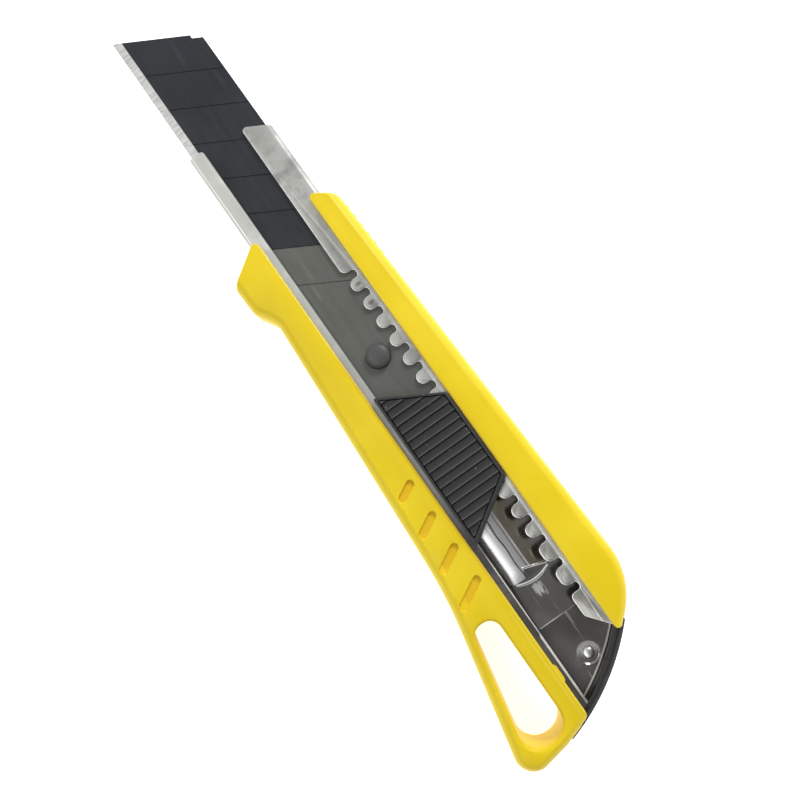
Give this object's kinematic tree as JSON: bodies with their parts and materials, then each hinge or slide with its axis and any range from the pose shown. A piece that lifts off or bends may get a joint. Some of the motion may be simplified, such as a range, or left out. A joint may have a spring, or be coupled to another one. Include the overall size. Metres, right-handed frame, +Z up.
{
  "type": "utility knife",
  "caption": "Snap-off blade utility knife with a steel sheath, toothed auto-lock slider, contoured plastic grip, finger hole and pull-off end cap.",
  "frame": {"origin": "middle of the box around the knife, on the flat back it lies on", "axes": "+X towards the tail, +Y towards the blade's spine, +Z up out of the side with the slider"},
  "size_m": [0.1856, 0.042, 0.0132],
  "materials": {
    "yellow_plastic": "satin moulded ABS",
    "sheath_steel": "satin stainless sheet, worn bright on its edges",
    "liner_steel": "bright rolled spring sheet",
    "rivet_steel": "bright domed rivet",
    "black_plastic": "fine moulded texture",
    "grey_plastic": "satin moulded nylon",
    "pad_plastic": "ribbed moulded nylon",
    "spring_steel": "bright spring steel",
    "tang_steel": "plain rolled blade steel",
    "blade_steel": "blackened blade steel with a bright ground bevel"
  },
  "bodies": {
    "handle": {"handle_body": "yellow_plastic", "sheath": "sheath_steel", "sheath_liner": "liner_steel", "tail_rivet": "rivet_steel"},
    "slider": {"slider_carrier": "grey_plastic", "lock_spring": "spring_steel", "spring_rivets": "rivet_steel", "blade_tang": "tang_steel", "blade_segment_1": "blade_steel", "blade_segment_2": "blade_steel", "blade_segment_3": "blade_steel", "blade_segment_4": "blade_steel", "blade_segment_5": "blade_steel", "blade_segment_6": "blade_steel", "blade_segment_7": "tang_steel"},
    "thumb_pad": {"thumb_pad": "pad_plastic"},
    "end_cap": {"end_cap": "black_plastic"}
  },
  "joints": [
    {"name": "slider_travel", "type": "slide", "parent": "handle", "child": "slider", "axis": [-1, 0, 0], "range_m": [-0.037, 0.045], "deforming": ["lock_spring"]},
    {"name": "thumb_press", "type": "slide", "parent": "slider", "child": "thumb_pad", "axis": [0, 0, -1], "range_m": [0, 0.00075], "stiffness_N_per_m": 2500, "springref_m": -0.0004, "deforming": ["lock_spring"]},
    {"name": "cap_pull", "type": "slide", "parent": "handle", "child": "end_cap", "axis": [1, 0, 0], "range_m": [0, 0.0165]}
  ]
}
